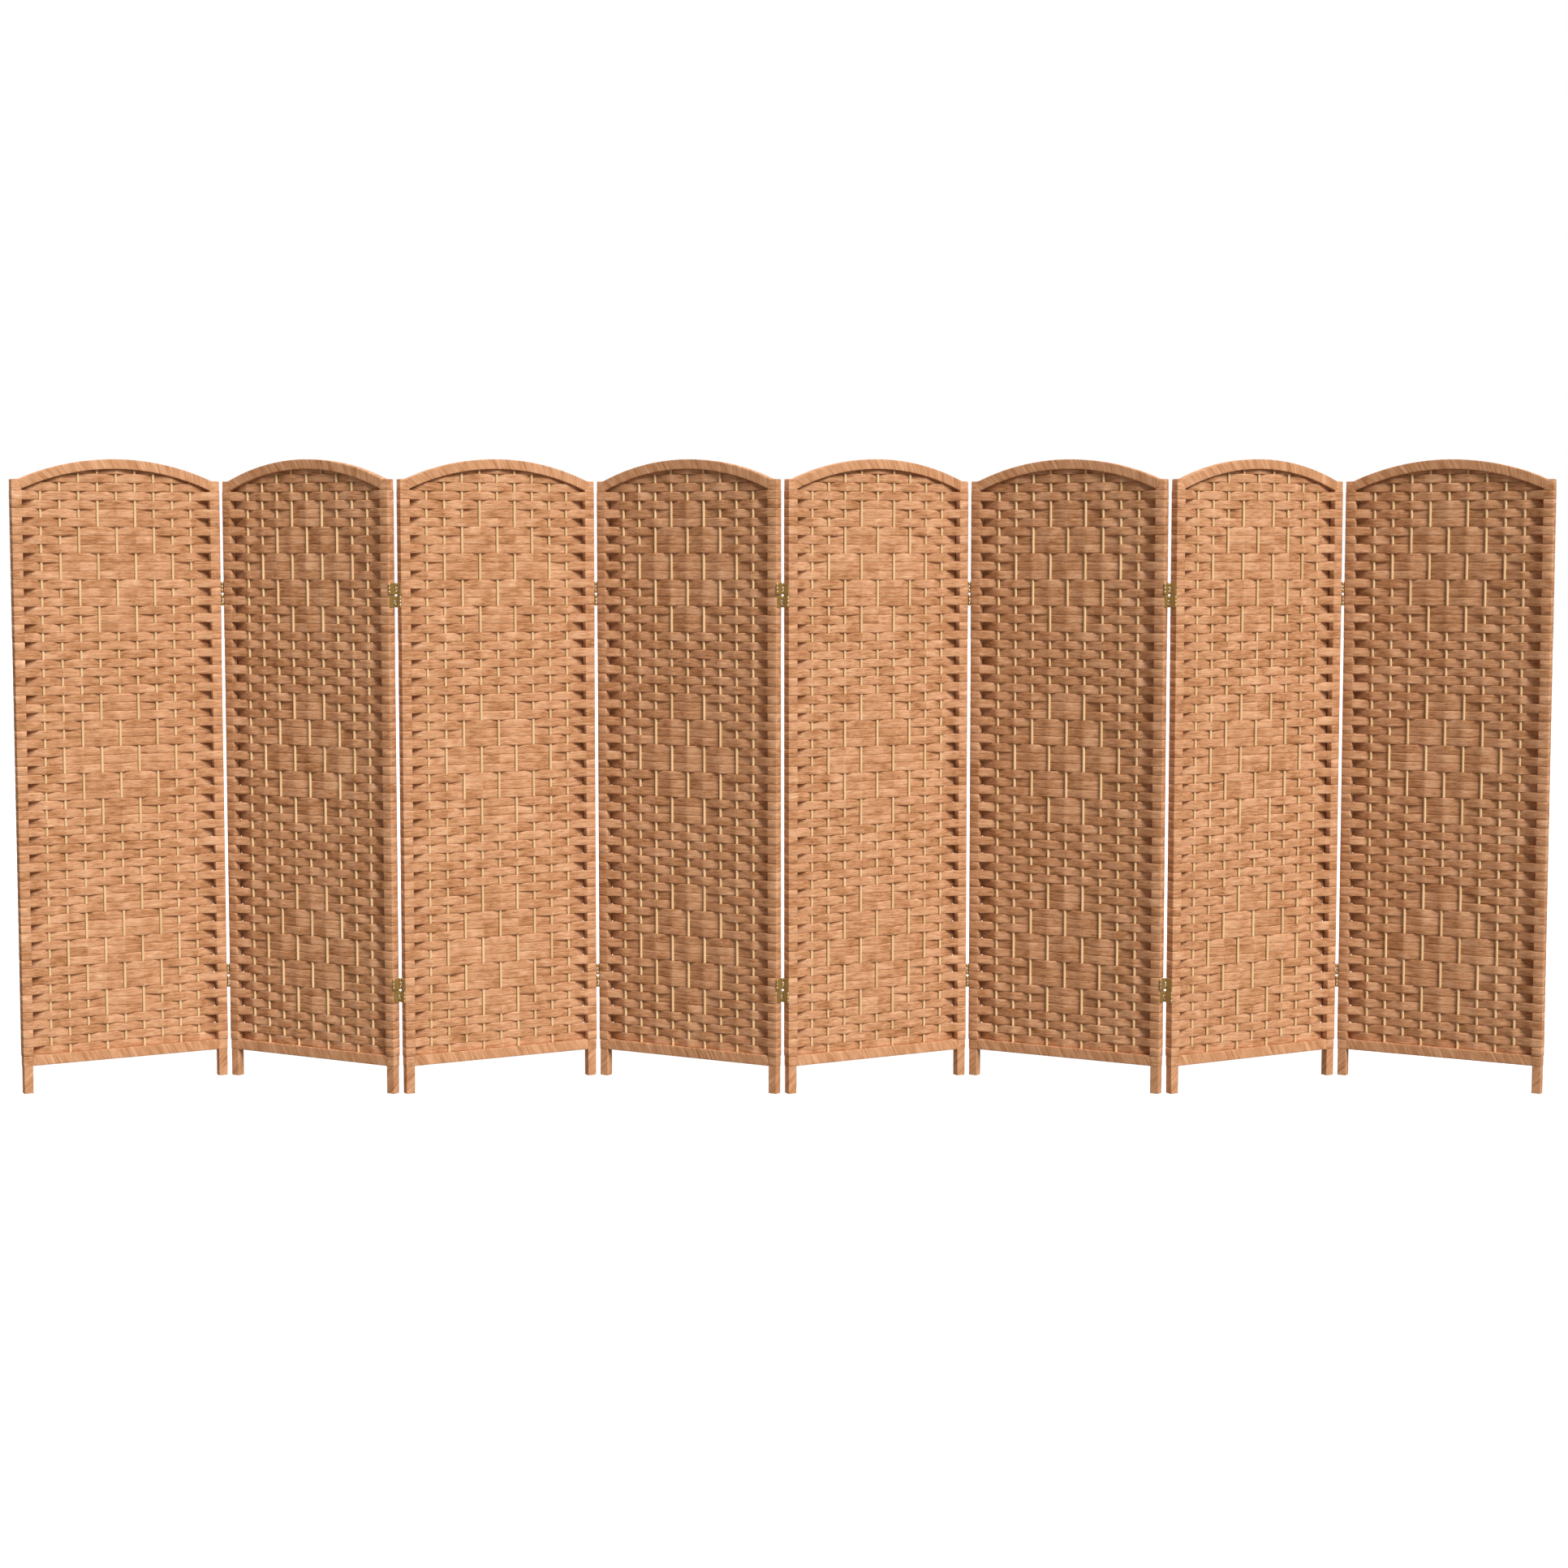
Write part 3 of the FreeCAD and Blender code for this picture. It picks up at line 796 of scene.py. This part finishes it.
def wood_finish():
    """Pale sawn softwood of the bars under the binding: long grain with darker rings."""
    wood = Finish("sawn_wood")
    grain = wood.upright_noise(across=220, along=7, detail=4, roughness=0.6)
    colour = wood.ramp(grain, [
        (0.3, (150, 106, 66)),
        (0.55, (196, 150, 104)),
        (0.8, (214, 174, 128)),
    ])
    return wood.surface(
        Base_Color=colour,
        Roughness=0.9 - grain * 0.2,
        Normal=wood.bump(grain, 0.3 * MM, 0.4),
    )


def add_panels():
    """Weft and windings of every panel, and the finishes of its wood, stakes and hinges."""
    # Woven strips get painted shade along their edges for the seams between rows; wound strips get none.
    woven = fibre_finish(
        "woven_fibre_strip", fibres=18, streaks=2.3, tones=0.2, grain=1.45, dashes=0.26, edges=0.5,
    )
    wound = fibre_finish(
        "wound_fibre_strip", fibres=13, streaks=3, tones=0.12, grain=1.2, dashes=0.12, edges=0,
    )
    wood = wood_finish()
    brass = brass_finish()
    node_finishes = {
        "posts": wood,
        "rails": wood,
        "stakes": bamboo_finish(),
        "hinges": brass,
        "pins_and_screws": brass,
    }
    for panel in range(1, PANELS + 1):
        rng = np.random.default_rng(panel)
        weft = [top_row(panel, number) for number in range(1, TOP_ROWS + 1)] + [looped_rows(panel, rng)]
        add_piece(f"panel_{panel}_weft", panel, weft, woven, f"panel_{panel}_weave")
        bound = leg_windings(panel) + rail_windings(panel) + post_caps(panel)
        add_piece(f"panel_{panel}_winding", panel, bound, wound, f"panel_{panel}_binding")
        for part, finish in node_finishes.items():
            for slot in frame["nodes"][f"panel_{panel}_{part}"].material_slots:
                slot.material = finish


def add_stage():
    """Wide pale floor at the feet.

    It glows, to look as white as the room, and gives the screen neither light nor reflections.
    """
    half = 40
    corners = [(-half, -half, 0), (half, -half, 0), (half, half, 0), (-half, half, 0)]
    mesh = bpy.data.meshes.new("floor")
    mesh.from_pydata(corners, [], [(0, 1, 2, 3)])
    floor = Finish("pale_floor")
    mesh.materials.append(floor.surface(
        Base_Color=(0.4, 0.4, 0.4, 1),
        Roughness=0.9,
        Emission_Color=(1, 1, 1, 1),
        Emission_Strength=0.66,
    ))
    piece = bpy.data.objects.new("floor", mesh)
    piece.visible_diffuse = False
    piece.visible_glossy = False
    bpy.context.scene.collection.objects.link(piece)


def add_light():
    """A broad key from the upper right, a weaker light from behind, and an even, slightly warm room.

    The room shows as plain white behind the screen.
    """
    breadth = radians(30)
    tilt = radians(50)
    # Each light's name, strength and turn about Z in degrees.
    for name, strength, turn in (("key", 3.9, 33), ("back_light", 2.6, 213)):
        light = bpy.data.lights.new(name, "SUN")
        light.energy = strength
        light.angle = breadth
        lamp = bpy.data.objects.new(name, light)
        lamp.rotation_euler = (tilt, 0, radians(turn))
        bpy.context.scene.collection.objects.link(lamp)
    world = bpy.data.worlds.new("studio")
    world.use_nodes = True
    tree = world.node_tree
    room = tree.nodes["Background"]
    room.inputs["Strength"].default_value = 0.32
    room.inputs["Color"].default_value = (1, 0.96, 0.9, 1)
    behind = tree.nodes.new("ShaderNodeBackground")
    behind.inputs["Color"].default_value = (1, 1, 1, 1)
    seen = tree.nodes.new("ShaderNodeLightPath")
    mix = tree.nodes.new("ShaderNodeMixShader")
    tree.links.new(seen.outputs["Is Camera Ray"], mix.inputs["Fac"])
    tree.links.new(room.outputs["Background"], mix.inputs[1])
    tree.links.new(behind.outputs["Background"], mix.inputs[2])
    tree.links.new(mix.outputs["Shader"], tree.nodes["World Output"].inputs["Surface"])
    bpy.context.scene.world = world
    bpy.context.scene.view_settings.view_transform = "Standard"


def add_camera():
    """The photograph's view: in front of the middle, a little below the post tops, looking slightly down."""
    distance = 7.7176
    height = 1.4543
    look_down = 4.67
    lens = bpy.data.cameras.new("camera")
    lens.sensor_width = 36
    lens.lens = 65.41
    lens.shift_x = 0.0009
    camera = bpy.data.objects.new("camera", lens)
    camera.location = (0, -distance, height)
    camera.rotation_euler = (radians(90 - look_down), 0, 0)
    bpy.context.scene.collection.objects.link(camera)
    bpy.context.scene.camera = camera


add_panels()
add_stage()
add_light()
add_camera()
